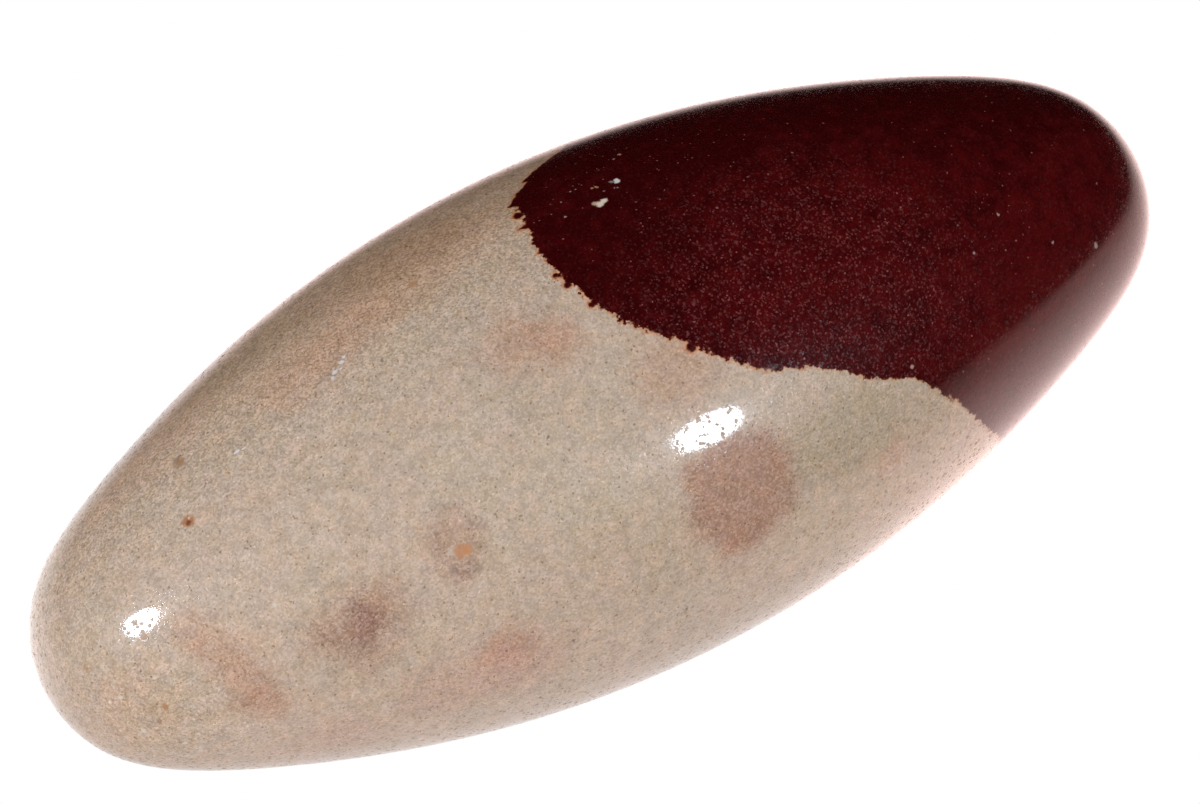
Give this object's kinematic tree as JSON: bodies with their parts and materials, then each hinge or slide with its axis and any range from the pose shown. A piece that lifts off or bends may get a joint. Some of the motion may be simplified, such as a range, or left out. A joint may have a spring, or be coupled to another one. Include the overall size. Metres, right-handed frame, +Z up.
{
  "type": "shiva lingam stone",
  "caption": "Elongated, evenly rounded polished river stone with one dark red end, lying on its side on a small ground flat.",
  "frame": {"origin": "on the surface that the stone rests on, under the middle of its bounding box", "axes": "+X along the stone towards its dark red end, +Y across it, +Z up out of the surface that it rests on"},
  "size_m": [0.08, 0.0342, 0.0309],
  "materials": {
    "polished_stone": "hand-polished to a gloss, grey-tan with a dark red end"
  },
  "bodies": {
    "root": {"lingam_stone": "polished_stone"}
  },
  "joints": []
}
